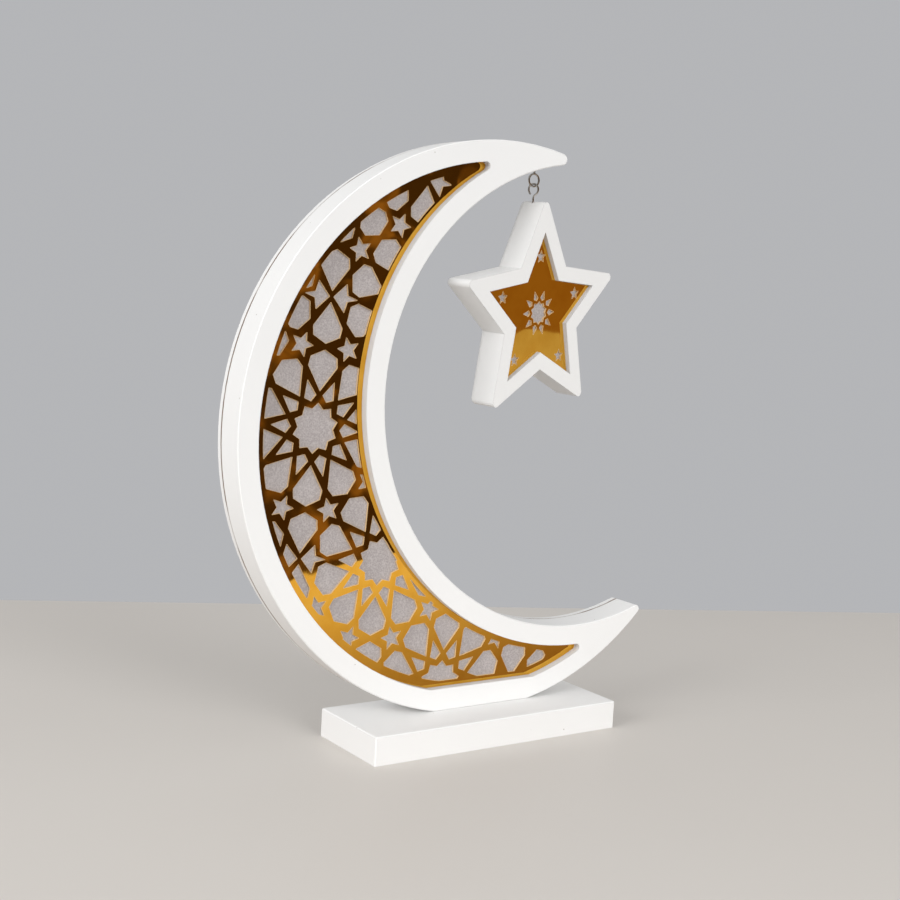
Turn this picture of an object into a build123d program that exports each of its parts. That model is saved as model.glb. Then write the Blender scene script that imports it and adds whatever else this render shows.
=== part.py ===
"""Eid crescent ornament: a standing crescent with lit fretwork and a hanging star.

Front view is X to the right and Z up, and the front faces -Y. The origin is the
middle of the base's underside. All sizes are in millimetres.
"""

import os
from math import acos, atan2, cos, degrees, dist, hypot, radians, sin, sqrt

from build123d import *

os.makedirs("parts", exist_ok=True)

# Base plate
base_width = 155.0
base_depth = 55.0
base_thick = 15.0
base_ease = 0.6

# Crescent outline: an outer circle cut flat at the foot, and a hollow of two arcs
outer_radius = 151.4
outer_x = 4.5
foot_cut = 3.2
hollow_less = 26.4
hollow_right = 54.2
hollow_rise = 18.6
lower_more = 9.0
blend_angle = 219.7
upper_tip_round = 3.0
lower_tip_round = 2.4

# Crescent layers, from the front
crescent_setback = 24.7
body_thick = 18.0
panel_thick = 4.0
lip_thick = 4.5
fret_thick = 1.0
diffuser_thick = 2.0
window_border = 11.0
window_floor = 12.0
window_round = 2.2
pocket_wall = 7.0
pocket_floor = 9.5
sheet_clear = 0.3
outline_ease = 0.5

# Fretwork of ten-fold rosettes
girih_edge = 40.0
girih_turn = -95.2
rosette_angle = 182.8
rosette_inset = 3.4
rim_outer = 4.7
rim_inner = 3.2
rim_floor = 3.0
least_hole = 6.0
field_count = 4

# Screws
base_screw_radius = 2.0
base_screw_head = 4.0
base_screw_grip = 7.5
base_screw_spread = 36.0
panel_screw_radius = 1.25
panel_screw_head = 2.5
panel_screw_length = 14.0
screw_clear = 0.05

# Light
strip_width = 8.0
strip_thick = 0.5
strip_first_angle = 118.0
strip_last_angle = 280.0
chip_size = 5.0
chip_thick = 1.6
chip_count = 12
lead_radius = 0.5
lead_pitch = 2.4
lead_bend = 1.5
lead_angle = 214.6
lead_reach = 8.0
lead_hole_radius = 2.6

# Battery box on the back panel
pad_thick = 1.0
cell_radius = 5.25
cell_length = 44.5
nub_radius = 1.9
nub_length = 0.8
cell_clear = 0.3
contact_room = 3.0
contact_thick = 0.4
contact_height = 8.0
contact_width = 7.0
contact_clear = 0.05
box_wall = 1.6
box_side = 2.4
switch_bay = 11.0
cover_thick = 1.6
cover_tongue = 0.8
cover_clear = 0.15
thumb_ribs = 5
thumb_pitch = 2.0
thumb_depth = 0.4

# Slide switch
switch_width = 8.0
switch_height = 4.0
switch_depth = 3.6
knob_width = 2.0
knob_height = 2.0
knob_proud = 1.2
knob_seat = 1.0
switch_travel = 3.0
switch_clear = 0.2

# Screw eye and hook
eye_x = 25.2
wire_radius = 0.525
eye_radius = 3.27
eye_neck = 2.0
eye_grip = 7.0
hook_radius = 2.95
hook_gap = 0.3
hook_turn = -79.0
hook_open = 65.0
hook_neck = 1.2
hook_grip = 8.0
wire_clear = 0.1

# Star
star_tip = 62.0
star_notch = 30.3
star_round = 2.4
star_thick = 18.0
star_ease = 3.0
star_border = 8.1
star_recess = 2.5
star_turn = 10.5
star_lean = 4.2
star_nod = 2.4
star_shift = 1.2
star_sheet = 1.0
star_backing_thick = 2.0
star_sheet_clear = 0.15
arm_star_tip = 3.6
arm_star_place = 30.0
star_girih_edge = 20.0

# Places that follow from the sizes above
outer_z = base_thick + outer_radius - foot_cut
inner_radius = outer_radius - hollow_less
lower_radius = inner_radius + lower_more
inner_x = outer_x + hollow_right
inner_z = outer_z + hollow_rise
lower_x = inner_x + (inner_radius - lower_radius) * cos(radians(blend_angle))
lower_z = inner_z + (inner_radius - lower_radius) * sin(radians(blend_angle))
mid_x = (outer_x + inner_x) / 2
mid_z = (outer_z + inner_z) / 2
mid_radius = (outer_radius + inner_radius) / 2
front_y = crescent_setback - base_depth / 2
fret_y = front_y + lip_thick
diffuser_y = fret_y + fret_thick
panel_y = front_y + body_thick
back_y = panel_y + panel_thick
middle_y = front_y + body_thick / 2


def front_plane(y):
    """Plane seen from the front, whose sketches extrude forward from the depth y."""
    return Plane.XZ.offset(-y)


def around(x, z, radius, angle):
    """Point at a radius and an angle around a centre."""
    return (x + radius * cos(radians(angle)), z + radius * sin(radians(angle)))


def crossing(x1, z1, r1, x2, z2, r2, side):
    """Crossing of two circles, on the left (1) or the right (-1) of the way from 1 to 2."""
    span = hypot(x2 - x1, z2 - z1)
    swing = degrees(acos((span**2 + r1**2 - r2**2) / (2 * span * r1)))
    return around(x1, z1, r1, degrees(atan2(z2 - z1, x2 - x1)) + side * swing)


def arc_between(x, z, start, end, turn):
    """Arc around a centre from start to end, counterclockwise (1) or clockwise (-1)."""
    first = degrees(atan2(start[1] - z, start[0] - x))
    sweep_angle = (turn * (degrees(atan2(end[1] - z, end[0] - x)) - first)) % 360
    radius = hypot(start[0] - x, start[1] - z)
    ThreePointArc(start, around(x, z, radius, first + turn * sweep_angle / 2), end)


def crescent(outer_inset, inner_inset, floor, upper_round, lower_round):
    """Crescent face drawn inside the outline by the insets and cut flat at the floor."""
    outer = outer_radius - outer_inset
    upper = inner_radius + inner_inset
    lower = lower_radius + inner_inset
    half_floor = sqrt(outer**2 - (outer_z - floor) ** 2)
    floor_left = (outer_x - half_floor, floor)
    floor_right = (outer_x + half_floor, floor)
    upper_tip = crossing(outer_x, outer_z, outer, inner_x, inner_z, upper, 1)
    lower_tip = crossing(outer_x, outer_z, outer, lower_x, lower_z, lower, -1)
    blend = around(inner_x, inner_z, upper, blend_angle)
    with BuildSketch() as face:
        with BuildLine():
            arc_between(outer_x, outer_z, upper_tip, floor_left, 1)
            Line(floor_left, floor_right)
            arc_between(outer_x, outer_z, floor_right, lower_tip, 1)
            arc_between(lower_x, lower_z, lower_tip, blend, -1)
            arc_between(inner_x, inner_z, blend, upper_tip, -1)
        make_face()
        fillet(face.vertices().sort_by(Axis.Y)[-1], upper_round)
        fillet(face.vertices().sort_by(Axis.X)[-1], lower_round)
    return face.sketch


def mirrored(points):
    """Closed outline from one half, given from end to end along its axis of symmetry."""
    return points + [(along, -aside) for along, aside in reversed(points) if aside]


def placed(points, x, z, angle):
    """Outline moved to a centre and turned."""
    c = cos(radians(angle))
    s = sin(radians(angle))
    return [(x + u * c - v * s, z + u * s + v * c) for u, v in points]


def polar(radius, angle):
    return (radius * cos(radians(angle)), radius * sin(radians(angle)))


def star_points(count, tip, notch):
    """Star outline with its first tip along the first axis."""
    step = 180 / count
    return [polar(notch if i % 2 else tip, i * step) for i in range(2 * count)]


def kite_points(edge):
    """Small kite between two points of a rosette's star."""
    half = [(0.345 * edge, 0), polar(0.4125 * edge, 11.5), (0.6125 * edge, 0)]
    return mirrored(half)


def petal_points(edge):
    """Long hexagon around a rosette, as a half outline from its inner tip to its apex."""
    half = [
        (0.46 * edge, 0),
        polar(0.7875 * edge, 15),
        polar(0.894 * edge, 12),
        (0.965 * edge, 0),
    ]
    return mirrored(half)


def dart_points(edge):
    """Pointed piercing beside the middle between two rosettes."""
    half = [
        (0.0275 * edge, 0),
        (0.1975 * edge, 0.175 * edge),
        (0.23 * edge, 0.0375 * edge),
        (0.37 * edge, 0),
    ]
    return mirrored(half)


def rosette(x, z, edge, turn):
    """Ten-pointed star with its ring of kites."""
    holes = [placed(star_points(10, 0.3125 * edge, 0.2475 * edge), x, z, turn)]
    holes += [placed(kite_points(edge), x, z, turn + 18 + 36 * k) for k in range(10)]
    return holes


def in_crescent(x, z):
    """Whether a point lies between the outer circle and the hollow's upper arc."""
    return dist((x, z), (outer_x, outer_z)) < outer_radius and (
        dist((x, z), (inner_x, inner_z)) > inner_radius
    )


def girih(x, z, edge, turn, count):
    """Strapwork piercings of a rhombic field of rosettes around one at a centre."""
    side = 2 * edge
    link = side * (1 + sqrt(5)) / 2
    holes = []
    small_stars = []
    for i in range(-count, count + 1):
        for j in range(-count, count + 1):
            across = around(x, z, i * side, turn + 36)
            cx, cz = around(*across, j * side, turn - 36)
            holes += rosette(cx, cz, edge, turn)
            holes += [placed(petal_points(edge), cx, cz, turn + 36 * k) for k in range(10)]
            for k in (0, 1, 3, 4, 5, 6, 8, 9):
                angle = turn + 18 + 36 * k
                spot = around(cx, cz, 1.05 * edge, angle)
                if all(dist(spot, other) > edge / 4 for other, _ in small_stars):
                    small_stars.append((spot, angle + 180))
            mx, mz = around(cx, cz, link / 2, turn)
            for end in (0, 180):
                shift = (0.07 - 0.46) * edge
                petal = [(u + shift, v) for u, v in petal_points(edge)]
                holes.append(placed(petal, mx, mz, turn + end))
                holes.append(placed(dart_points(edge), mx, mz, turn + end + 90))
    for spot, angle in small_stars:
        holes.append(placed(star_points(5, 0.1575 * edge, 0.0725 * edge), *spot, angle))
    return [hole for hole in holes if any(in_crescent(*point) for point in hole)]


def wood_screw(head, shank, length):
    """Countersunk screw that points up, with its head's face on the origin."""
    with BuildPart() as screw:
        with BuildSketch(Plane.XZ):
            with BuildLine():
                Polyline(
                    (0, 0),
                    (head, 0),
                    (shank, head - shank),
                    (shank, length - shank),
                    (0, length),
                    close=True,
                )
            make_face()
        revolve(axis=Axis.Z)
    return screw.part


# Base plate, with two countersunk holes from below under the crescent's foot
base_screw_spots = [
    (outer_x - base_screw_spread / 2, middle_y),
    (outer_x + base_screw_spread / 2, middle_y),
]
with BuildPart() as base_plate:
    with BuildSketch():
        Rectangle(base_width, base_depth)
    extrude(amount=base_thick)
    chamfer(base_plate.edges().filter_by(Axis.Z), base_ease)
    chamfer(base_plate.faces().sort_by(Axis.Z)[-1].edges(), base_ease)
    with Locations([Location((x, y, 0), (180, 0, 0)) for x, y in base_screw_spots]):
        CounterSinkHole(
            base_screw_radius + screw_clear, base_screw_head + screw_clear, base_thick, 90
        )
base_plate.part.label = "base_plate"
export_step(base_plate.part, "parts/base_plate.step")

# Two wood screws hold the crescent's foot from below
base_screw = wood_screw(base_screw_head, base_screw_radius, base_thick + base_screw_grip)
with BuildPart() as base_screws:
    with Locations([(x, y, 0) for x, y in base_screw_spots]):
        add(base_screw)
base_screws.part.label = "base_screws"
export_step(base_screws.part, "parts/base_screws.step")

# Back panel screws stand in the middle of the body's outer and inner walls
panel_screw_spots = [
    around(outer_x, outer_z, outer_radius - pocket_wall / 2, angle)
    for angle in (105, 150, 195, 240, 300)
]
panel_screw_spots += [
    around(inner_x, inner_z, inner_radius + pocket_wall / 2, angle) for angle in (135, 175, 215)
]
with BuildSketch() as whole_outline:
    add(crescent(0, 0, base_thick, upper_tip_round, lower_tip_round))
with BuildSketch() as window_outline:
    add(
        crescent(
            window_border, window_border, base_thick + window_floor, window_round, window_round
        )
    )
with BuildSketch() as pocket_outline:
    add(
        crescent(
            pocket_wall, pocket_wall, base_thick + pocket_floor, window_round, window_round
        )
    )
with BuildSketch() as sheet_outline:
    add(
        crescent(
            pocket_wall + sheet_clear,
            pocket_wall + sheet_clear,
            base_thick + pocket_floor + sheet_clear,
            window_round,
            window_round,
        )
    )

# Underside of the upper horn, where the eye is screwed in
horn_z = inner_z + sqrt(inner_radius**2 - (eye_x - inner_x) ** 2)

# Crescent body: one thick board with a window in its front lip and a pocket behind it
with BuildPart() as crescent_body:
    with BuildSketch(front_plane(panel_y)):
        add(whole_outline.sketch)
    extrude(amount=body_thick)
    chamfer(crescent_body.faces().sort_by(Axis.Y)[0].edges(), outline_ease)
    with BuildSketch(front_plane(front_y)):
        add(window_outline.sketch)
    extrude(amount=-body_thick, mode=Mode.SUBTRACT)
    with BuildSketch(front_plane(panel_y)):
        add(pocket_outline.sketch)
    extrude(amount=body_thick - lip_thick, mode=Mode.SUBTRACT)
    with BuildSketch(front_plane(panel_y)):
        with Locations(panel_screw_spots):
            Circle(panel_screw_radius + screw_clear)
    extrude(amount=panel_screw_length - panel_thick, mode=Mode.SUBTRACT)
    with BuildSketch(Plane.XY.offset(base_thick)):
        with Locations(base_screw_spots):
            Circle(base_screw_radius + screw_clear)
    extrude(amount=base_screw_grip, mode=Mode.SUBTRACT)
    with BuildSketch(Plane.XY.offset(horn_z + eye_grip)):
        with Locations((eye_x, middle_y)):
            Circle(wire_radius + wire_clear)
    extrude(amount=-eye_grip - body_thick, mode=Mode.SUBTRACT)
crescent_body.part.label = "crescent_body"
export_step(crescent_body.part, "parts/crescent_body.step")

# The leads leave the strip outward, then pass through the back panel into the switch bay
lead_x, lead_z = around(mid_x, mid_z, mid_radius + lead_reach, lead_angle)

# Back panel, closing the body from behind
with BuildPart() as crescent_back_panel:
    with BuildSketch(front_plane(back_y)):
        add(whole_outline.sketch)
    extrude(amount=panel_thick)
    chamfer(crescent_back_panel.faces().sort_by(Axis.Y)[0].edges(), outline_ease)
    chamfer(crescent_back_panel.faces().sort_by(Axis.Y)[-1].edges(), outline_ease)
    with BuildSketch(front_plane(back_y)):
        with Locations((lead_x, lead_z)):
            Circle(lead_hole_radius)
    extrude(amount=panel_thick, mode=Mode.SUBTRACT)
    with Locations([Location((x, back_y, z), (-90, 0, 0)) for x, z in panel_screw_spots]):
        CounterSinkHole(
            panel_screw_radius + screw_clear, panel_screw_head + screw_clear, panel_thick, 90
        )
crescent_back_panel.part.label = "crescent_back_panel"
export_step(crescent_back_panel.part, "parts/crescent_back_panel.step")

panel_screw = wood_screw(panel_screw_head, panel_screw_radius, panel_screw_length)
with BuildPart() as back_panel_screws:
    with Locations([Location((x, back_y, z), (90, 0, 0)) for x, z in panel_screw_spots]):
        add(panel_screw)
back_panel_screws.part.label = "back_panel_screws"
export_step(back_panel_screws.part, "parts/back_panel_screws.step")

# Fretwork: the field of piercings is cut to the window, and its slivers are left closed
rosette_x, rosette_z = around(mid_x, mid_z, mid_radius - rosette_inset, rosette_angle)
fret_field = crescent(
    window_border + rim_outer,
    window_border + rim_inner,
    base_thick + window_floor + rim_floor,
    rim_inner,
    rim_inner,
)
piercings = []
for outline in girih(rosette_x, rosette_z, girih_edge, girih_turn, field_count):
    piercing = Polygon(*outline, align=None) & fret_field
    if piercing:
        piercings += [hole for hole in piercing.faces() if hole.area > least_hole]
with BuildPart() as crescent_fretwork:
    with BuildSketch(front_plane(diffuser_y)):
        add(sheet_outline.sketch)
        add(piercings, mode=Mode.SUBTRACT)
    extrude(amount=fret_thick)
crescent_fretwork.part.label = "crescent_fretwork"
export_step(crescent_fretwork.part, "parts/crescent_fretwork.step")

# Diffuser sheet, laid on the fretwork's back
with BuildPart() as crescent_diffuser:
    with BuildSketch(front_plane(diffuser_y + diffuser_thick)):
        add(sheet_outline.sketch)
    extrude(amount=diffuser_thick)
crescent_diffuser.part.label = "crescent_diffuser"
export_step(crescent_diffuser.part, "parts/crescent_diffuser.step")

# Light strip along the middle of the back panel's inner face
with BuildPart() as led_strip:
    with BuildSketch(front_plane(panel_y)):
        with BuildLine():
            strip_line = CenterArc(
                (mid_x, mid_z), mid_radius, strip_first_angle, strip_last_angle - strip_first_angle
            )
        trace(strip_line, line_width=strip_width)
    extrude(amount=strip_thick)
led_strip.part.label = "led_strip"
export_step(led_strip.part, "parts/led_strip.step")

strip_y = panel_y - strip_thick
chip_step = (strip_last_angle - strip_first_angle) / chip_count
with BuildPart() as led_chips:
    with BuildSketch(front_plane(strip_y)):
        for n in range(chip_count):
            angle = strip_first_angle + (n + 0.5) * chip_step
            with Locations(Location((*around(mid_x, mid_z, mid_radius, angle), 0), angle)):
                Rectangle(chip_size, chip_size)
    extrude(amount=chip_thick)
led_chips.part.label = "led_chips"
export_step(led_chips.part, "parts/led_chips.step")

# Battery box: the switch bay opens to the front over the leads, the cell pocket to the back
box_y = back_y + pad_thick
pocket_width = 4 * cell_radius + 3 * cell_clear
pocket_length = cell_length + 2 * contact_room
box_width = pocket_width + 2 * box_side
box_low = lead_z - switch_bay / 2 - box_wall
bay_high = lead_z + switch_bay / 2
pocket_low = bay_high + box_wall
pocket_high = pocket_low + pocket_length
box_high = pocket_high + box_wall
box_length = box_high - box_low
box_depth = box_wall + 2 * cell_radius + cell_clear + cover_thick
box_back = box_y + box_depth
cover_seat = box_back - cover_thick
cell_y = box_y + box_wall + cell_radius + cell_clear / 2
slot_width = knob_width + switch_travel + 2 * switch_clear
slot_height = knob_height + 2 * switch_clear


with BuildPart() as battery_box:
    with Locations((lead_x, box_y, box_low)):
        Box(box_width, box_depth, box_length, align=(Align.CENTER, Align.MIN, Align.MIN))
    fillet(battery_box.edges().filter_by(Axis.Y), box_wall)
    with Locations((lead_x, box_y, lead_z)):
        Box(
            pocket_width,
            box_depth - cover_thick,
            switch_bay,
            align=(Align.CENTER, Align.MIN, Align.CENTER),
            mode=Mode.SUBTRACT,
        )
        Box(
            slot_width,
            box_depth,
            slot_height,
            align=(Align.CENTER, Align.MIN, Align.CENTER),
            mode=Mode.SUBTRACT,
        )
    with Locations((lead_x, box_y + box_wall, pocket_low)):
        Box(
            pocket_width,
            box_depth,
            pocket_length,
            align=(Align.CENTER, Align.MIN, Align.MIN),
            mode=Mode.SUBTRACT,
        )
    with Locations((lead_x, cover_seat, pocket_low)):
        Box(
            pocket_width,
            box_depth,
            box_length,
            align=(Align.CENTER, Align.MIN, Align.MIN),
            mode=Mode.SUBTRACT,
        )
        Box(
            pocket_width + 2 * cover_tongue,
            cover_thick / 2,
            box_length,
            align=(Align.CENTER, Align.MIN, Align.MIN),
            mode=Mode.SUBTRACT,
        )
battery_box.part.label = "battery_box"
export_step(battery_box.part, "parts/battery_box.step")

# Adhesive pad between the box and the back panel, open over the switch bay
with BuildPart() as battery_box_pad:
    with BuildSketch(front_plane(box_y)):
        with Locations((lead_x, (box_low + box_high) / 2)):
            RectangleRounded(box_width, box_length, box_wall)
        with Locations((lead_x, lead_z)):
            Rectangle(pocket_width, switch_bay, mode=Mode.SUBTRACT)
    extrude(amount=pad_thick)
battery_box_pad.part.label = "battery_box_pad"
export_step(battery_box_pad.part, "parts/battery_box_pad.step")

# Sliding cover, whose tongues run in the box's side grooves
cover_low = pocket_low + cover_clear
cover_length = box_high - cover_low
with BuildPart() as battery_cover:
    with Locations((lead_x, cover_seat + cover_clear, cover_low)):
        Box(
            pocket_width + 2 * (cover_tongue - cover_clear),
            cover_thick / 2 - 2 * cover_clear,
            cover_length,
            align=(Align.CENTER, Align.MIN, Align.MIN),
        )
        Box(
            pocket_width - 2 * cover_clear,
            cover_thick - cover_clear,
            cover_length,
            align=(Align.CENTER, Align.MIN, Align.MIN),
        )
    with BuildSketch(front_plane(box_back)):
        with Locations((lead_x, cover_low + thumb_ribs * thumb_pitch)):
            with GridLocations(1, thumb_pitch, 1, thumb_ribs):
                SlotOverall(pocket_width / 2, thumb_pitch / 2)
    extrude(amount=thumb_depth, mode=Mode.SUBTRACT)
battery_cover.part.label = "battery_cover"
export_step(battery_cover.part, "parts/battery_cover.step")

# Two cells, side by side and end for end
cell_pitch = 2 * cell_radius + cell_clear
cell_low = pocket_low + contact_room
with BuildPart() as battery_cells:
    with Locations((lead_x - cell_pitch / 2, cell_y, cell_low)):
        Cylinder(
            cell_radius, cell_length - nub_length, align=(Align.CENTER, Align.CENTER, Align.MIN)
        )
        Cylinder(nub_radius, cell_length, align=(Align.CENTER, Align.CENTER, Align.MIN))
    with Locations((lead_x + cell_pitch / 2, cell_y, cell_low + cell_length)):
        Cylinder(
            cell_radius, cell_length - nub_length, align=(Align.CENTER, Align.CENTER, Align.MAX)
        )
        Cylinder(nub_radius, cell_length, align=(Align.CENTER, Align.CENTER, Align.MAX))
battery_cells.part.label = "battery_cells"
export_step(battery_cells.part, "parts/battery_cells.step")

# Contacts: bent leaves at the cells' ends, the two upper ones on one bridge plate
leaf_reach = contact_room - contact_clear
with BuildSketch() as leaf_profile:
    with BuildLine() as leaf_line:
        Polyline(
            (contact_thick / 2, 0),
            (contact_thick / 2, contact_height),
            (leaf_reach - contact_thick / 2, contact_height / 2),
            (2 * contact_thick, contact_height / 4),
        )
    trace(line_width=contact_thick)
    with Locations((leaf_reach, 0)):
        Rectangle(
            contact_room, 4 * contact_height, align=(Align.MIN, Align.CENTER), mode=Mode.SUBTRACT
        )
    with Locations((0, 0)):
        Rectangle(
            contact_room, 4 * contact_height, align=(Align.MAX, Align.CENTER), mode=Mode.SUBTRACT
        )
leaf_y = cell_y - contact_height / 2
with BuildPart() as battery_contacts:
    for side in (-1, 1):
        leaf_x = lead_x + side * cell_pitch / 2
        lower = Plane((leaf_x, leaf_y, pocket_low), x_dir=(0, 0, 1), z_dir=(-1, 0, 0))
        with BuildSketch(lower):
            add(leaf_profile.sketch)
        extrude(amount=contact_width / 2, both=True)
        upper = Plane((leaf_x, leaf_y, pocket_high), x_dir=(0, 0, -1), z_dir=(1, 0, 0))
        with BuildSketch(upper):
            add(leaf_profile.sketch)
        extrude(amount=contact_width / 2, both=True)
    with Locations((lead_x, leaf_y, pocket_high)):
        Box(
            cell_pitch + contact_width,
            contact_height,
            contact_thick,
            align=(Align.CENTER, Align.MIN, Align.MAX),
        )
battery_contacts.part.label = "battery_contacts"
export_step(battery_contacts.part, "parts/battery_contacts.step")

# Slide switch under the bay's roof
switch_y = cover_seat - switch_depth
with BuildPart() as switch_body:
    with Locations((lead_x, switch_y, lead_z)):
        Box(switch_width, switch_depth, switch_height, align=(Align.CENTER, Align.MIN, Align.CENTER))
    with Locations((lead_x, cover_seat, lead_z)):
        Box(
            slot_width,
            knob_seat + switch_clear,
            slot_height,
            align=(Align.CENTER, Align.MAX, Align.CENTER),
            mode=Mode.SUBTRACT,
        )
switch_body.part.label = "switch_body"
export_step(switch_body.part, "parts/switch_body.step")

# Knob at the off end of its slot
knob_x = lead_x - switch_travel / 2
with BuildPart() as switch_slider:
    with Locations((knob_x, cover_seat - knob_seat, lead_z)):
        Box(
            knob_width,
            knob_seat + cover_thick + knob_proud,
            knob_height,
            align=(Align.CENTER, Align.MIN, Align.CENTER),
        )
    chamfer(switch_slider.faces().sort_by(Axis.Y)[-1].edges(), knob_width / 8)
switch_slider.part.label = "switch_slider"
export_step(switch_slider.part, "parts/switch_slider.step")

# Leads: from the strip's pads, round a bend and back to the switch
outward = Vector(cos(radians(lead_angle)), 0, sin(radians(lead_angle)))
sideways = outward.cross(Vector(0, 1, 0))
lead_y = strip_y - lead_radius
with BuildPart() as led_leads:
    for side in (-1, 1):
        foot = Vector(lead_x, lead_y, lead_z) + sideways * (side * lead_pitch / 2)
        run = Plane(foot, x_dir=outward, z_dir=sideways)
        with BuildLine(run) as lead_line:
            Line((-lead_reach, 0), (-lead_bend, 0))
            CenterArc((-lead_bend, lead_bend), lead_bend, -90, 90)
            Line((0, lead_bend), (0, switch_y - lead_y))
        with BuildSketch(Plane(lead_line.line @ 0, z_dir=lead_line.line % 0)):
            Circle(lead_radius)
        sweep(path=lead_line.line)
led_leads.part.label = "led_leads"
export_step(led_leads.part, "parts/led_leads.step")

# Screw eye: a wire ring in the crescent's plane with a shank up into the horn
eye_z = horn_z - eye_neck - wire_radius - eye_radius
with BuildPart() as star_eye:
    with Locations(Location((eye_x, middle_y, eye_z), (90, 0, 0))):
        Torus(eye_radius, wire_radius)
    with BuildSketch(Plane.XY.offset(eye_z + eye_radius)):
        with Locations((eye_x, middle_y)):
            Circle(wire_radius)
    extrude(amount=horn_z + eye_grip - eye_z - eye_radius)
star_eye.part.label = "star_eye"
export_step(star_eye.part, "parts/star_eye.step")

# The star and its hook hang from the bottom of the eye's ring, turned and leaning a little
ring_foot = Vector(eye_x, middle_y, eye_z - eye_radius)
star_right = Vector(cos(radians(star_turn)), sin(radians(star_turn)), 0)
level_front = Vector(sin(radians(star_turn)), -cos(radians(star_turn)), 0)
star_front = level_front * cos(radians(star_nod)) - Vector(0, 0, sin(radians(star_nod)))
plain_up = star_front.cross(star_right)
star_across = star_right * cos(radians(star_lean)) + plain_up * sin(radians(star_lean))
star_up = star_front.cross(star_across)
loop_middle = ring_foot + star_up * (2 * wire_radius + hook_gap - hook_radius)
loop_start = hook_radius * sqrt(3)
top_drop = loop_start + hook_neck
tip_cut = star_notch * sin(radians(36)) / (star_tip - star_notch * cos(radians(36)))
tip_loss = star_round * (sqrt(1 + tip_cut**2) / tip_cut - 1)
star_middle = (
    loop_middle - star_up * (top_drop + star_tip - tip_loss) + star_across * star_shift
)


def star_plane(forward):
    """Plane of the star, moved toward its front from the middle of its thickness."""
    return Plane(star_middle + star_front * forward, x_dir=star_across, z_dir=star_front)


# Hook: a wire that rises from the star's point and curls round the eye's ring
hook_x = star_across * cos(radians(hook_turn)) - star_front * sin(radians(hook_turn))
hook_plane = Plane(loop_middle, x_dir=hook_x, z_dir=hook_x.cross(star_up))
with BuildPart() as star_hook:
    with BuildLine(hook_plane) as hook_line:
        Line((0, -top_drop - hook_grip), (0, -loop_start))
        CenterArc((hook_radius, -loop_start), hook_radius, 180, -60)
        CenterArc((0, 0), hook_radius, -60, 360 - hook_open)
    with BuildSketch(Plane(hook_line.line @ 0, z_dir=hook_line.line % 0)):
        Circle(wire_radius)
    sweep(path=hook_line.line)
star_hook.part.label = "star_hook"
export_step(star_hook.part, "parts/star_hook.step")


def five_star(inset, round_tips):
    """Star face with its border moved in."""
    tip = star_tip - inset * sqrt(1 + tip_cut**2) / tip_cut
    notch_angle = atan2(tip_cut, 1) + radians(36)
    notch = star_notch - inset / sin(notch_angle)
    with BuildSketch() as face:
        Polygon(*placed(star_points(5, tip, notch), 0, 0, 90), align=None)
        if round_tips:
            tips = face.vertices().sort_by(lambda v: -hypot(v.X, v.Y))[:5]
            fillet(tips, star_round)
    return face.sketch


with BuildSketch() as star_outline:
    add(five_star(0, True))
with BuildSketch() as star_window:
    add(five_star(star_border, False))
with BuildSketch() as star_sheet_outline:
    add(five_star(star_border + star_sheet_clear, False))

# Star body: a thick board with a pocket in its front and a hole for the hook
pocket_depth = star_recess + star_sheet + star_backing_thick
with BuildPart() as star_body:
    with BuildSketch(star_plane(-star_thick / 2)):
        add(star_outline.sketch)
    extrude(amount=star_thick)
    back_face = star_body.faces().sort_by(lambda f: f.center().dot(star_front))[0]
    fillet(back_face.edges(), star_ease)
    with BuildSketch(star_plane(star_thick / 2)):
        add(star_window.sketch)
    extrude(amount=-pocket_depth, mode=Mode.SUBTRACT)
    with BuildSketch(Plane(hook_line.line @ 0, z_dir=star_up)):
        Circle(wire_radius + screw_clear)
    extrude(amount=hook_grip + top_drop, mode=Mode.SUBTRACT)
star_body.part.label = "star_body"
export_step(star_body.part, "parts/star_body.step")

# Gold sheet of the star: a small star in each arm around a rosette
with BuildPart() as star_fretwork:
    with BuildSketch(star_plane(star_thick / 2 - star_recess - star_sheet)):
        add(star_sheet_outline.sketch)
        for n in range(5):
            x, z = around(0, 0, arm_star_place, 90 + 72 * n)
            small_star = star_points(5, arm_star_tip, 0.46 * arm_star_tip)
            Polygon(*placed(small_star, x, z, 90), align=None, mode=Mode.SUBTRACT)
        for outline in rosette(0, 0, star_girih_edge, 90):
            Polygon(*outline, align=None, mode=Mode.SUBTRACT)
    extrude(amount=star_sheet)
star_fretwork.part.label = "star_fretwork"
export_step(star_fretwork.part, "parts/star_fretwork.step")

# Grey sheet behind it, on the pocket's floor
with BuildPart() as star_backing:
    with BuildSketch(star_plane(star_thick / 2 - pocket_depth)):
        add(star_sheet_outline.sketch)
    extrude(amount=star_backing_thick)
star_backing.part.label = "star_backing"
export_step(star_backing.part, "parts/star_backing.step")
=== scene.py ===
"""Finishes, small fittings and stage for the eid crescent ornament."""

import math

import bmesh
import bpy
from mathutils import Matrix, Vector


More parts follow.
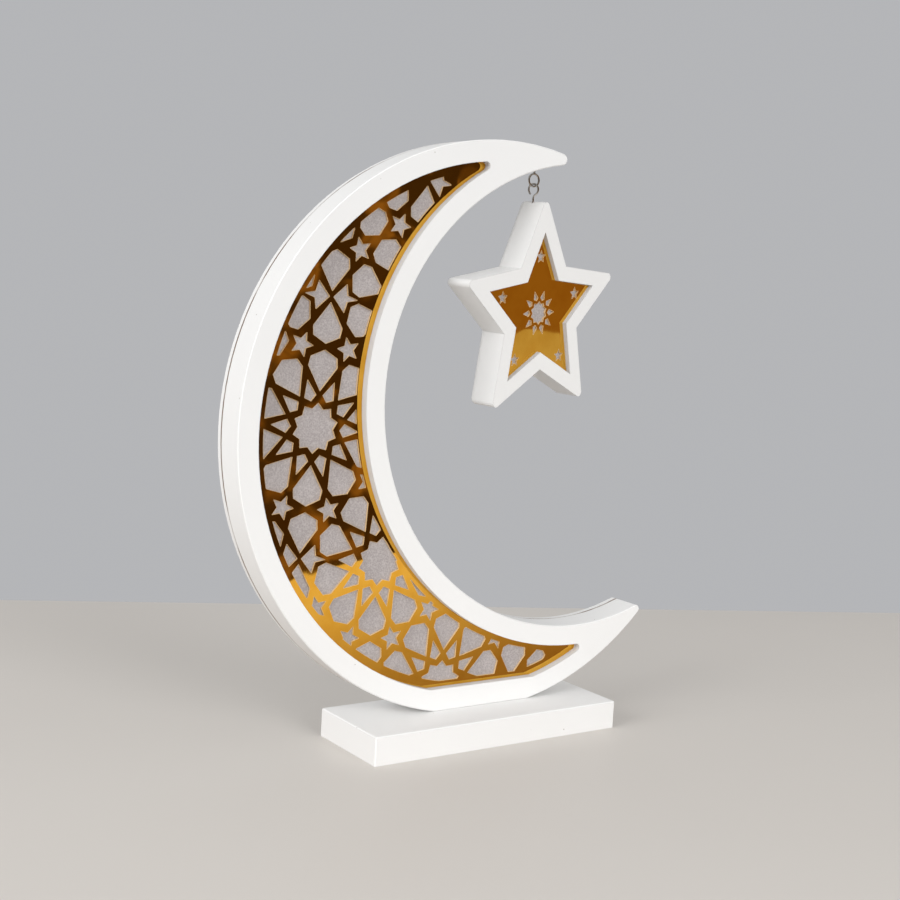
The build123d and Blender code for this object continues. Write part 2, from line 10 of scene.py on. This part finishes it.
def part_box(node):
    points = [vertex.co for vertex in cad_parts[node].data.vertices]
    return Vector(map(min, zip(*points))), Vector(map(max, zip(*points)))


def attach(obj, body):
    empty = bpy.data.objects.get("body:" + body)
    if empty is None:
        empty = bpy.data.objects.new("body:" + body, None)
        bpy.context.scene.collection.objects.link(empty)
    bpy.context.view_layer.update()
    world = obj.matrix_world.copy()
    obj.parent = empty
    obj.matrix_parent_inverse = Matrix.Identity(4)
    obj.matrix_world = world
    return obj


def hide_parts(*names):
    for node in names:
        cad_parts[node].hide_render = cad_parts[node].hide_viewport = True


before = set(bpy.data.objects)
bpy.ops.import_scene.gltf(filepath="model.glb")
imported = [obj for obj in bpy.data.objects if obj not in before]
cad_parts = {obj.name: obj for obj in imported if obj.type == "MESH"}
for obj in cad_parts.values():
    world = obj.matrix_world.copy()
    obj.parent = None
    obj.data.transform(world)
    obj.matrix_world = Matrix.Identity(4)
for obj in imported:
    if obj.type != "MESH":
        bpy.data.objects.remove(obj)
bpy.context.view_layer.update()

# Turn of the star about the vertical as it hangs at rest.
STAR_TURN = math.radians(10.5)

# Points of one screw lie closer together than this, in metres.
SCREW_GAP = 0.006

bl_info = {
    "name": "Eid crescent ornament",
    "version": (1, 0, 0),
    "blender": (4, 5, 0),
    "location": "3D View > Sidebar > Ornament",
    "description": "Dresses the crescent, its fretwork and the hanging star",
    "category": "Object",
}


def colour_property(name, description, default):
    """Colour that a user can change in the sidebar."""
    return bpy.props.FloatVectorProperty(
        name=name, description=description, default=default, subtype="COLOR", min=0.0, max=1.0
    )


def number_property(name, description, default, **kind):
    """Number that a user can change in the sidebar."""
    return bpy.props.FloatProperty(name=name, description=description, default=default, **kind)


def length_property(name, description, default):
    """Length in metres."""
    return number_property(name, description, default, unit="LENGTH", precision=5)


def share_property(name, description, default):
    """Share of another size."""
    return number_property(name, description, default, subtype="FACTOR", min=0.0, max=1.0)


def angle_property(name, description, degrees):
    """Angle whose default is given in degrees."""
    return number_property(name, description, math.radians(degrees), subtype="ANGLE")


def place_property(name, description, default):
    """Place in the ornament's frame, in metres."""
    return bpy.props.FloatVectorProperty(
        name=name, description=description, default=default, subtype="TRANSLATION"
    )


class OrnamentFinishes(bpy.types.PropertyGroup):
    """Colours of the ornament's materials, and the widths of their edges."""

    paint: colour_property("Paint", "White paint on the boards", (0.88, 0.875, 0.865))
    speck: colour_property("Speck", "Fibre specks in the paint", (0.34, 0.30, 0.26))
    bare_edge: colour_property("Bare edge", "Board that shows at the seam", (0.19, 0.125, 0.09))
    gold: colour_property("Gold", "Mirror face of the acrylic", (0.95, 0.52, 0.07))
    gold_deep: colour_property("Deep gold", "Mirror face where it is fingered", (0.88, 0.45, 0.05))
    # The rims' own paler colour, also painted on the mirror face beside them as a highlight.
    gold_rim_and_highlight: colour_property("Gold edge", "Laser-cut rims of the acrylic", (0.92, 0.66, 0.36))
    # The sheet is white; both its colours are painted grey, as shade from the dark hollow behind
    # it.
    sheet: colour_property("Sheet", "Translucent sheet behind the piercings", (0.335, 0.30, 0.294))
    shaded_sheet_grain: colour_property("Sheet grain", "Light grains of that sheet", (0.53, 0.487, 0.478))
    wire: colour_property("Wire", "Plated wire of the eye and the hook", (0.64, 0.62, 0.595))
    zinc: colour_property("Zinc", "Plating of the screws", (0.60, 0.60, 0.58))
    plastic: colour_property("Plastic", "Moulded battery box", (0.80, 0.80, 0.785))
    black: colour_property("Black", "Moulded switch", (0.022, 0.022, 0.024))
    sleeve: colour_property("Sleeve", "Plain sleeve of the cells", (0.035, 0.045, 0.06))
    cell_end: colour_property("Cell end", "Bare end band of the cells", (0.62, 0.40, 0.20))
    phosphor: colour_property("Phosphor", "Resin of the light chips", (0.90, 0.72, 0.20))
    # Width of the shade painted along the boards' edges, which dims the highlight there.
    edge_shade_width: length_property("Edge shade width", "Width of the rubbed paint along edges", 0.0012)
    # Width of the painted highlight on the mirror face beside each cut rim.
    rim_highlight_width: length_property("Rim highlight width", "Width of the pale rims of the acrylic", 0.0005)
    seam_reach: length_property("Seam reach", "Bare board on each side of the seam", 0.0006)


class OrnamentStage(bpy.types.PropertyGroup):
    """Floor, light and camera."""

    floor: colour_property("Floor", "Plain pale floor", (0.66, 0.625, 0.585))
    floor_front: length_property("Floor front", "Floor's front edge, from the middle", -0.311)
    floor_back: length_property("Floor back", "Floor's back edge, from the middle", 0.3)
    floor_reach: length_property("Floor reach", "Floor's reach to each side", 2.5)
    floor_turn: angle_property("Floor turn", "Floor's turn under the ornament", -24.3)
    # Painted colours that the floor glows with for mirror rays; the one close by is a painted
    # shadow.
    shine: colour_property("Shine", "Floor as the mirror shows it", (0.84, 0.78, 0.70))
    shade: colour_property("Shade", "Floor close by as the mirror shows it", (0.20, 0.11, 0.05))
    backdrop: colour_property("Backdrop", "Plain wall seen by the camera", (0.46, 0.465, 0.48))
    room: colour_property("Room", "Dark room that the mirror faces", (0.12, 0.07, 0.035))
    glow: colour_property("Glow", "Lit side of that room, at the right", (0.27, 0.155, 0.05))
    ambient: number_property("Ambient", "Even light from all round", 0.6, min=0.0)
    key_power: number_property("Key power", "Large soft lamp at the left", 25.2, unit="POWER")
    key_size: length_property("Key size", "Side of that lamp", 1.2)
    key_place: place_property("Key place", "Place of that lamp", (-2.0, -0.35, 0.75))
    fill_power: number_property("Fill power", "Soft lamp at the front", 20.8, unit="POWER")
    fill_size: length_property("Fill size", "Side of that lamp", 1.0)
    fill_place: place_property("Fill place", "Place of that lamp", (0.0, -1.9, 0.72))
    aim: place_property("Aim", "Point that the lamps face", (0.0, 0.0, 0.15))
    lens: number_property("Lens", "Focal length on a 36 mm sensor", 58.58, unit="CAMERA")
    azimuth: angle_property("Azimuth", "Camera's turn to the right of the front", -34.62)
    elevation: angle_property("Elevation", "Camera's rise above the horizon", 6.59)
    roll: angle_property("Roll", "Camera's turn about its view", 3.13)
    place: place_property("Place", "Camera's place", (-0.4531, -0.6221, 0.2412))


class OrnamentFittings(bpy.types.PropertyGroup):
    """Sizes of the small fittings."""

    panel_head: length_property("Panel head", "Head radius of the panel's screws", 0.0025)
    panel_shank: length_property("Panel shank", "Shank radius of the panel's screws", 0.00125)
    foot_head: length_property("Foot head", "Head radius of the foot's screws", 0.004)
    foot_shank: length_property("Foot shank", "Shank radius of the foot's screws", 0.002)
    facets: bpy.props.IntProperty(
        name="Facets", description="Facets round a screw", default=24, min=8
    )
    recess_width: share_property("Recess width", "Width of a screw's cross, of its head", 0.2)
    recess_reach: share_property("Recess reach", "Reach of a screw's cross, of its head", 0.58)
    recess_taper: share_property("Recess taper", "Bottom of a screw's cross, of its top", 0.62)
    recess_limit: share_property("Recess limit", "Deepest cross, of the head's height", 0.6)
    recess_depth: length_property("Recess depth", "Depth of a screw's cross", 0.0008)


class Wire:
    """Output of a shader node that can be used in a Python expression."""

    def __init__(self, graph, socket):
        self.graph = graph
        self.socket = socket

    def other(self, name):
        """Another output of the same node."""
        return Wire(self.graph, self.socket.node.outputs[name])

    def maths(self, operation, first, second=0.0):
        """Math node on two values."""
        return self.graph.node("ShaderNodeMath", {"operation": operation}, {0: first, 1: second})

    def __add__(self, value):
        return self.maths("ADD", self, value)

    def __sub__(self, value):
        return self.maths("SUBTRACT", self, value)

    def __rsub__(self, value):
        return self.maths("SUBTRACT", value, self)

    def __mul__(self, value):
        return self.maths("MULTIPLY", self, value)

    def __lt__(self, value):
        return self.maths("LESS_THAN", self, value)

    def __gt__(self, value):
        return self.maths("GREATER_THAN", self, value)

    def __abs__(self):
        return self.maths("ABSOLUTE", self)

    __radd__ = __add__
    __rmul__ = __mul__


class Graph:
    """Node tree to which nodes are added one by one."""

    def __init__(self, tree):
        self.tree = tree

    def node(self, kind, settings=(), sockets=(), out=0):
        """Adds a node, sets it, feeds its sockets and gives one of its outputs."""
        made = self.tree.nodes.new(kind)
        for key, value in dict(settings).items():
            setattr(made, key, value)
        for key, value in dict(sockets).items():
            self.feed(made.inputs[key], value)
        return Wire(self, made.outputs[out])

    def feed(self, socket, value):
        """Links a wire to a socket, or sets the socket's own value."""
        if isinstance(value, Wire):
            self.tree.links.new(value.socket, socket)
        elif socket.type == "RGBA":
            socket.default_value = (*value[:3], 1.0)
        else:
            socket.default_value = value

    def place(self):
        """Place on the object, in metres."""
        return self.node("ShaderNodeTexCoord", out="Object")

    def noise(self, place, size, detail=2.0, roughness=0.5):
        """Soft noise with features of a size in millimetres."""
        sockets = {
            "Vector": place,
            "Scale": 1000.0 / size,
            "Detail": detail,
            "Roughness": roughness,
        }
        return self.node("ShaderNodeTexNoise", (), sockets, "Fac")

    def cells(self, place, size):
        """Distance to the nearest of scattered points, a size in millimetres apart."""
        sockets = {"Vector": place, "Scale": 1000.0 / size}
        return self.node("ShaderNodeTexVoronoi", {"feature": "F1"}, sockets, "Distance")

    def blend(self, factor, first, second):
        """Mix of two colours."""
        sockets = {0: factor, 6: first, 7: second}
        return self.node("ShaderNodeMix", {"data_type": "RGBA"}, sockets, 2)

    def spread(self, value, low, high):
        """Value stretched from a range to 0 to 1, with soft ends."""
        settings = {"interpolation_type": "SMOOTHSTEP"}
        return self.node("ShaderNodeMapRange", settings, {0: value, 1: low, 2: high})

    def bump(self, height, strength, distance):
        """Surface relief, with its distance in millimetres."""
        sockets = {"Height": height, "Strength": strength, "Distance": distance / 1000.0}
        return self.node("ShaderNodeBump", (), sockets, "Normal")

    def along(self, first, second):
        """Cosine between two directions."""
        settings = {"operation": "DOT_PRODUCT"}
        return self.node("ShaderNodeVectorMath", settings, {0: first, 1: second}, "Value")

    def edges(self, width):
        """1 along a piece's edges, over a width in metres, and 0 on its faces."""
        flat = self.node("ShaderNodeNewGeometry", out="Normal")
        eased = self.node("ShaderNodeBevel", {"samples": 8}, {"Radius": width, "Normal": flat})
        return 1.0 - self.spread(self.along(flat, eased), 0.88, 0.99)


class Finish(Graph):
    """Material with one principled shader."""

    def __init__(self, name, **constants):
        self.material = bpy.data.materials.new(name)
        self.material.use_nodes = True
        super().__init__(self.material.node_tree)
        self.shader = self.tree.nodes["Principled BSDF"]
        self.wear(**constants)

    def wear(self, **sockets):
        """Feeds the shader's sockets, named with underscores for spaces."""
        for name, value in sockets.items():
            self.feed(self.shader.inputs[name.replace("_", " ")], value)


def dimmed(colour, share):
    """Colour darkened to a share of itself."""
    return [part * share for part in colour]


def white_paint(name, finishes, seam=None):
    """Sprayed satin paint on fibreboard: fine orange peel, a few fibre specks, and painted shade
    along the edges.

    Where two boards meet at the depth of a seam, their bare edges show as a broken line.
    """
    finish = Finish(name, Specular_IOR_Level=0.42)
    place = finish.place()
    cloud = finish.noise(place, 55, 3)
    peel = finish.noise(place, 1.5, 2)
    fibre = finish.noise(place, 0.3, 2)
    speck = finish.cells(place, 12) < 0.03
    # Painted shade: the paint is darkened along the edges, which dims their highlight.
    shaded = finish.edges(finishes.edge_shade_width) * (0.55 + 0.4 * cloud)
    colour = finish.blend(cloud, finishes.paint, dimmed(finishes.paint, 0.955))
    colour = finish.blend(speck * 0.7, colour, finishes.speck)
    colour = finish.blend(shaded, colour, dimmed(finishes.paint, 0.84))
    if seam is not None:
        depth = finish.node("ShaderNodeSeparateXYZ", (), {0: place}, "Y")
        joint = abs(depth - seam) < finishes.seam_reach
        bare = finish.spread(finish.noise(place, 28, 3), 0.36, 0.6)
        colour = finish.blend(joint * (0.35 + 0.6 * bare), colour, finishes.bare_edge)
    finish.wear(
        Base_Color=colour,
        Roughness=0.36 + 0.14 * cloud,
        Normal=finish.bump(0.7 * peel + 0.3 * fibre, 0.16, 0.12),
    )
    return finish.material


def gold_mirror(name, finishes, front):
    """Mirror acrylic: bright faces with faint smears, paler laser-cut rims, and a painted
    highlight on the face beside them.
    """
    finish = Finish(name)
    place = finish.place()
    rim = abs(finish.along(place.other("Normal"), front)) < 0.7
    # The rim walls keep their own paler colour; the band beside them on the mirror face is a
    # painted highlight.
    cut = rim + (1.0 - rim) * finish.edges(finishes.rim_highlight_width)
    smear = finish.noise(place, 14, 4, 0.6)
    wave = finish.noise(place, 22, 1)
    face = finish.blend(finish.spread(smear, 0.35, 0.7), finishes.gold, finishes.gold_deep)
    finish.wear(
        Base_Color=finish.blend(cut, face, finishes.gold_rim_and_highlight),
        Metallic=1.0 - 0.75 * cut,
        Roughness=0.012 + 0.03 * smear + 0.24 * cut,
        Normal=finish.bump(wave, 0.5, 0.25),
    )
    return finish.material


def grained_sheet(name, finishes):
    """Translucent sheet with a fine sparkling grain, painted grey for the shade of the dark hollow
    behind it.
    """
    finish = Finish(name, Specular_IOR_Level=0.35)
    place = finish.place()
    grain = finish.noise(place, 0.55, 2, 0.7)
    cloud = finish.noise(place, 18, 2)
    weave = finish.cells(place, 0.9)
    light = finish.spread(0.65 * grain + 0.2 * cloud + 0.25 * weave, 0.38, 0.78)
    finish.wear(
        # Painted shade: both colours are the white sheet darkened by the hollow behind it.
        Base_Color=finish.blend(light, finishes.sheet, finishes.shaded_sheet_grain),
        Roughness=0.5 + 0.2 * grain,
        Normal=finish.bump(grain, 0.3, 0.1),
    )
    return finish.material


def plated_metal(name, colour, dullness):
    """Plated steel with draw marks and slight tarnish."""
    finish = Finish(name, Metallic=1.0)
    place = finish.place()
    tarnish = finish.noise(place, 2.5, 3)
    marks = finish.noise(place, 0.35, 2)
    dull = finish.spread(tarnish, 0.45, 0.75)
    finish.wear(
        Base_Color=finish.blend(dull, colour, dimmed(colour, 0.6)),
        Roughness=dullness + 0.2 * marks,
        Normal=finish.bump(marks, 0.12, 0.03),
    )
    return finish.material


def moulded_plastic(name, colour, grain_size=0.45):
    """Moulded plastic with a fine spark-eroded grain."""
    finish = Finish(name, Specular_IOR_Level=0.45)
    place = finish.place()
    cloud = finish.noise(place, 25, 3)
    grain = finish.noise(place, grain_size, 2)
    finish.wear(
        Base_Color=finish.blend(cloud, colour, dimmed(colour, 0.9)),
        Roughness=0.42 + 0.16 * grain,
        Normal=finish.bump(grain, 0.22, 0.06),
    )
    return finish.material


def cell_sleeve(name, finishes):
    """Shrink sleeve with a bare band at each end of the cell."""
    finish = Finish(name)
    low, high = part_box("battery_cells")
    place = finish.place()
    height = finish.node("ShaderNodeSeparateXYZ", (), {0: place}, "Z")
    middle = (low.z + high.z) / 2
    sleeved = 0.36 * (high.z - low.z)
    band = abs(height - middle) > sleeved
    scuff = finish.noise(place, 3, 3)
    finish.wear(
        Base_Color=finish.blend(band, finishes.sleeve, finishes.cell_end),
        Metallic=0.25 + 0.6 * band,
        Roughness=0.26 + 0.2 * scuff,
        Normal=finish.bump(scuff, 0.1, 0.05),
    )
    return finish.material


def pale_floor(name, stage):
    """Plain floor; for mirror rays it glows with a painted reflection colour, with painted shade
    close by and far off.
    """
    finish = Finish(name, Specular_IOR_Level=0.3)
    place = finish.place()
    cloud = finish.noise(place, 320, 3)
    fine = finish.noise(place, 1.2, 2)
    finish.wear(
        Base_Color=finish.blend(cloud, stage.floor, dimmed(stage.floor, 0.95)),
        Roughness=0.42 + 0.1 * cloud,
        Normal=finish.bump(fine, 0.08, 0.1),
    )
    # For mirror rays the floor is an emitter: a painted reflection, with painted shade close by
    # and dimmer far off.
    mirrored = finish.node("ShaderNodeLightPath", out="Is Glossy Ray")
    reach = finish.node("ShaderNodeVectorMath", {"operation": "LENGTH"}, {0: place}, "Value")
    across = finish.node("ShaderNodeSeparateXYZ", (), {0: place}, "X")
    near = finish.spread(0.5 * across + across.other("Y"), -0.33, 0.05)
    near = near * (1.0 - finish.spread(reach, 0.3, 0.6))
    far = finish.spread(reach, 0.3, 2.4)
    shine = finish.blend(far, stage.shine, dimmed(stage.shine, 0.6))
    shine = finish.blend(near, shine, stage.shade)
    glow = finish.node("ShaderNodeEmission", (), {"Color": shine})
    lit = Wire(finish, finish.shader.outputs[0])
    whole = finish.node("ShaderNodeMixShader", (), {0: mirrored, 1: lit, 2: glow})
    finish.feed(finish.tree.nodes["Material Output"].inputs["Surface"], whole)
    return finish.material


def dress(material, *nodes):
    """Gives CAD nodes a material in their own slots."""
    for node in nodes:
        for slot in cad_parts[node].material_slots:
            slot.material = material


def screw_spots(node, face, axis):
    """Middles of a group of screws on the face that they are seen from."""
    spots = []
    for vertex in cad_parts[node].data.vertices:
        point = vertex.co.copy()
        point[axis] = face
        near = next((spot for spot in spots if (spot[0] - point).length < SCREW_GAP), None)
        if near:
            near.append(point)
        else:
            spots.append([point])
    middles = []
    for points in spots:
        low = Vector(min(p[i] for p in points) for i in range(3))
        high = Vector(max(p[i] for p in points) for i in range(3))
        middles.append((low + high) / 2)
    return middles


def ring(mesh, radius, height, count):
    """Circle of vertices around the screw's axis."""
    turn = 2 * math.pi / count
    return [
        mesh.verts.new((radius * math.cos(i * turn), radius * math.sin(i * turn), height))
        for i in range(count)
    ]


def sides(loop):
    """Each vertex of a closed loop with the one after it."""
    return zip(loop, loop[1:] + loop[:1])


def bridge(mesh, first, second):
    """Band of faces between two rings of one length."""
    for (a, b), (c, d) in zip(sides(first), sides(second)):
        mesh.faces.new((a, b, d, c))


def cross_screw(mesh, head, shank, length, fittings, matrix):
    """Countersunk screw whose head faces up, with a cross recess and a point."""
    screw = bmesh.new()
    half = head * fittings.recess_width / 2
    reach = head * fittings.recess_reach
    taper = fittings.recess_taper
    floor = -min(fittings.recess_depth, (head - shank) * fittings.recess_limit)
    arm = [(reach, -half), (reach, half), (half, half)]
    cross = []
    for _ in range(4):
        cross.extend(arm)
        arm = [(-y, x) for x, y in arm]
    top = [screw.verts.new((x, y, 0)) for x, y in cross]
    low = [screw.verts.new((x * taper, y * taper, floor)) for x, y in cross]
    rim = ring(screw, head, 0, fittings.facets)
    neck = ring(screw, shank, shank - head, fittings.facets)
    tail = ring(screw, shank, shank - length, fittings.facets)
    tip = screw.verts.new((0, 0, -length))
    bridge(screw, rim, neck)
    bridge(screw, neck, tail)
    for a, b in sides(tail):
        screw.faces.new((a, b, tip))
    bridge(screw, low, top)
    screw.faces.new(low)
    loops = [screw.edges.get(pair) for loop in (rim, top) for pair in sides(loop)]
    bmesh.ops.triangle_fill(screw, use_beauty=True, edges=loops, normal=(0, 0, 1))
    bmesh.ops.recalc_face_normals(screw, faces=screw.faces)
    screw.transform(matrix)
    part = bpy.data.meshes.new("screw")
    screw.to_mesh(part)
    mesh.from_mesh(part)
    bpy.data.meshes.remove(part)
    screw.free()


def screw_group(name, node, axis, outward, head, shank, fittings, material):
    """Cross-recessed screws on the stand in place of a group of plain ones."""
    low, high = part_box(node)
    length = high[axis] - low[axis]
    face = high[axis] if outward[axis] > 0 else low[axis]
    turn = Vector((0, 0, 1)).rotation_difference(outward).to_matrix().to_4x4()
    mesh = bmesh.new()
    for number, spot in enumerate(screw_spots(node, face, axis)):
        stop = 0.7 * number + 0.3
        place = Matrix.Translation(spot) @ turn @ Matrix.Rotation(stop, 4, "Z")
        cross_screw(mesh, head, shank, length, fittings, place)
    data = bpy.data.meshes.new(name)
    mesh.to_mesh(data)
    mesh.free()
    data.materials.append(material)
    piece = bpy.data.objects.new(name, data)
    bpy.context.scene.collection.objects.link(piece)
    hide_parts(node)
    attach(piece, "stand")


class ORNAMENT_OT_boards(bpy.types.Operator):
    """Paints the base, the crescent and the star"""

    bl_idname = "ornament.boards"
    bl_label = "Paint the boards"

    def execute(self, context):
        finishes = context.scene.ornament_finishes
        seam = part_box("crescent_back_panel")[0].y
        dress(white_paint("white paint", finishes), "base_plate")
        dress(white_paint("white paint on the crescent", finishes, seam), "crescent_body")
        dress(white_paint("white paint on the back", finishes, seam), "crescent_back_panel")
        dress(white_paint("white paint on the star", finishes), "star_body")
        return {"FINISHED"}


class ORNAMENT_OT_fretwork(bpy.types.Operator):
    """Gilds the crescent's and the star's pierced sheets"""

    bl_idname = "ornament.fretwork"
    bl_label = "Gild the fretwork"

    def execute(self, context):
        finishes = context.scene.ornament_finishes
        dress(gold_mirror("gold mirror", finishes, (0, -1, 0)), "crescent_fretwork")
        front = (math.sin(STAR_TURN), -math.cos(STAR_TURN), 0)
        dress(gold_mirror("gold mirror on the star", finishes, front), "star_fretwork")
        return {"FINISHED"}


class ORNAMENT_OT_sheets(bpy.types.Operator):
    """Grains the translucent sheets behind the piercings"""

    bl_idname = "ornament.sheets"
    bl_label = "Grain the sheets"

    def execute(self, context):
        finishes = context.scene.ornament_finishes
        dress(grained_sheet("grained sheet", finishes), "crescent_diffuser", "star_backing")
        return {"FINISHED"}


class ORNAMENT_OT_link(bpy.types.Operator):
    """Plates the screw eye and the hook"""

    bl_idname = "ornament.link"
    bl_label = "Plate the eye and the hook"

    def execute(self, context):
        finishes = context.scene.ornament_finishes
        dress(plated_metal("plated wire", finishes.wire, 0.1), "star_eye", "star_hook")
        return {"FINISHED"}


class ORNAMENT_OT_screws(bpy.types.Operator):
    """Makes the screws with their cross recesses"""

    bl_idname = "ornament.screws"
    bl_label = "Make the screws"

    def execute(self, context):
        fittings = context.scene.ornament_fittings
        zinc = plated_metal("zinc plate", context.scene.ornament_finishes.zinc, 0.3)
        head, shank = fittings.panel_head, fittings.panel_shank
        outward = Vector((0, 1, 0))
        screw_group(
            "panel_screws", "back_panel_screws", 1, outward, head, shank, fittings, zinc
        )
        head, shank = fittings.foot_head, fittings.foot_shank
        outward = Vector((0, 0, -1))
        screw_group("foot_screws", "base_screws", 2, outward, head, shank, fittings, zinc)
        return {"FINISHED"}


class ORNAMENT_OT_light(bpy.types.Operator):
    """Finishes the light strip, its chips and its leads"""

    bl_idname = "ornament.light"
    bl_label = "Finish the light"

    def execute(self, context):
        finishes = context.scene.ornament_finishes
        dress(moulded_plastic("strip film", finishes.plastic, 0.8), "led_strip")
        dress(moulded_plastic("chip resin", finishes.phosphor, 0.6), "led_chips")
        dress(moulded_plastic("lead sleeve", finishes.plastic, 0.6), "led_leads")
        return {"FINISHED"}


class ORNAMENT_OT_battery_box(bpy.types.Operator):
    """Finishes the battery box, its cover, cells, contacts and switch"""

    bl_idname = "ornament.battery_box"
    bl_label = "Finish the battery box"

    def execute(self, context):
        finishes = context.scene.ornament_finishes
        dress(moulded_plastic("box plastic", finishes.plastic), "battery_box", "battery_cover")
        dress(moulded_plastic("foam pad", finishes.paint, 1.2), "battery_box_pad")
        dress(cell_sleeve("cell sleeve", finishes), "battery_cells")
        dress(plated_metal("contact plate", finishes.zinc, 0.22), "battery_contacts")
        dress(moulded_plastic("switch plastic", finishes.black), "switch_body", "switch_slider")
        return {"FINISHED"}


class ORNAMENT_OT_stage(bpy.types.Operator):
    """Sets the floor, the light and the camera"""

    bl_idname = "ornament.stage"
    bl_label = "Set the stage"

    def execute(self, context):
        stage = context.scene.ornament_stage
        self.lay_floor(stage)
        self.light_world(context.scene, stage)
        self.hang_lamp("key lamp", stage.key_place, stage.key_power, stage.key_size, stage.aim)
        self.hang_lamp(
            "fill lamp", stage.fill_place, stage.fill_power, stage.fill_size, stage.aim
        )
        self.place_camera(context.scene, stage)
        context.scene.view_settings.view_transform = "Standard"
        return {"FINISHED"}

    def lay_floor(self, stage):
        """Plain pale floor on which the ornament stands at an angle."""
        left, right = -stage.floor_reach, stage.floor_reach
        front, back = stage.floor_front, stage.floor_back
        corners = [(left, front, 0), (right, front, 0), (right, back, 0), (left, back, 0)]
        data = bpy.data.meshes.new("floor")
        data.from_pydata(corners, [], [(0, 1, 2, 3)])
        data.transform(Matrix.Rotation(stage.floor_turn, 4, "Z"))
        data.materials.append(pale_floor("pale floor", stage))
        floor = bpy.data.objects.new("floor", data)
        bpy.context.scene.collection.objects.link(floor)

    def light_world(self, scene, stage):
        """Even light, a plain wall for the camera and a dark room before the mirror."""
        scene.world = bpy.data.worlds.new("studio")
        scene.world.use_nodes = True
        graph = Graph(scene.world.node_tree)
        way = graph.node("ShaderNodeTexCoord", out="Generated")
        right = graph.node("ShaderNodeSeparateXYZ", (), {0: way}, "X")
        patch = graph.node("ShaderNodeTexNoise", (), {"Vector": way, "Scale": 36.0, "Detail": 3.0})
        ray = graph.node("ShaderNodeLightPath", out="Is Camera Ray")
        even = [stage.ambient] * 3
        under = [stage.ambient * 0.2] * 3
        shadow = dimmed(stage.room, 0.38)
        bright = [part * 2.2 for part in stage.room]
        room = graph.blend(graph.spread(patch, 0.5, 0.66), shadow, bright)
        room = graph.blend(graph.spread(right, 0.66, 0.82), room, stage.glow)
        seen = graph.blend(graph.spread(right.other("Y"), -0.3, 0.5), room, stage.backdrop)
        colour = graph.blend(graph.spread(right.other("Z"), -0.2, 0.1), under, even)
        colour = graph.blend(ray.other("Is Glossy Ray"), colour, seen)
        colour = graph.blend(ray, colour, stage.backdrop)
        graph.feed(graph.tree.nodes["Background"].inputs["Color"], colour)

    def hang_lamp(self, name, place, power, size, aim):
        """Square soft lamp that faces a point and that no mirror shows."""
        data = bpy.data.lights.new(name, "AREA")
        data.energy = power
        data.size = size
        lamp = bpy.data.objects.new(name, data)
        lamp.visible_glossy = False
        bpy.context.scene.collection.objects.link(lamp)
        lamp.location = place
        way = Vector(aim) - Vector(place)
        lamp.rotation_euler = way.to_track_quat("-Z", "Y").to_euler()

    def place_camera(self, scene, stage):
        """Camera at the photograph's angle."""
        data = bpy.data.cameras.new("camera")
        data.lens = stage.lens
        data.sensor_width = 36.0
        data.clip_start = 0.01
        camera = bpy.data.objects.new("camera", data)
        scene.collection.objects.link(camera)
        a, e, r = stage.azimuth, stage.elevation, stage.roll
        back = Vector((math.sin(a) * math.cos(e), -math.cos(a) * math.cos(e), math.sin(e)))
        right = (-back).cross(Vector((0, 0, 1))).normalized()
        up = right.cross(-back)
        side = math.cos(r) * right + math.sin(r) * up
        rise = math.cos(r) * up - math.sin(r) * right
        turn = Matrix((side, rise, back)).transposed().to_4x4()
        camera.matrix_world = Matrix.Translation(Vector(stage.place)) @ turn
        scene.camera = camera


operators = (
    ORNAMENT_OT_boards,
    ORNAMENT_OT_fretwork,
    ORNAMENT_OT_sheets,
    ORNAMENT_OT_link,
    ORNAMENT_OT_screws,
    ORNAMENT_OT_light,
    ORNAMENT_OT_battery_box,
    ORNAMENT_OT_stage,
)


class ORNAMENT_PT_sidebar(bpy.types.Panel):
    """Lists the ornament's settings and steps"""

    bl_idname = "ORNAMENT_PT_sidebar"
    bl_label = "Ornament"
    bl_space_type = "VIEW_3D"
    bl_region_type = "UI"
    bl_category = "Ornament"

    def draw(self, context):
        for group in ("ornament_finishes", "ornament_fittings", "ornament_stage"):
            settings = getattr(context.scene, group)
            box = self.layout.box()
            for name in settings.__annotations__:
                box.prop(settings, name)
        for operator in operators:
            self.layout.operator(operator.bl_idname)


classes = (OrnamentFinishes, OrnamentFittings, OrnamentStage, *operators, ORNAMENT_PT_sidebar)


def register():
    for cls in classes:
        bpy.utils.register_class(cls)
    scene = bpy.types.Scene
    scene.ornament_finishes = bpy.props.PointerProperty(type=OrnamentFinishes)
    scene.ornament_fittings = bpy.props.PointerProperty(type=OrnamentFittings)
    scene.ornament_stage = bpy.props.PointerProperty(type=OrnamentStage)


def unregister():
    scene = bpy.types.Scene
    del scene.ornament_stage
    del scene.ornament_fittings
    del scene.ornament_finishes
    for cls in reversed(classes):
        bpy.utils.unregister_class(cls)


def main():
    """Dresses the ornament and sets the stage."""
    register()
    bpy.ops.ornament.boards()
    bpy.ops.ornament.fretwork()
    bpy.ops.ornament.sheets()
    bpy.ops.ornament.link()
    bpy.ops.ornament.screws()
    bpy.ops.ornament.light()
    bpy.ops.ornament.battery_box()
    bpy.ops.ornament.stage()
    bpy.context.view_layer.update()


if __name__ == "__main__":
    main()
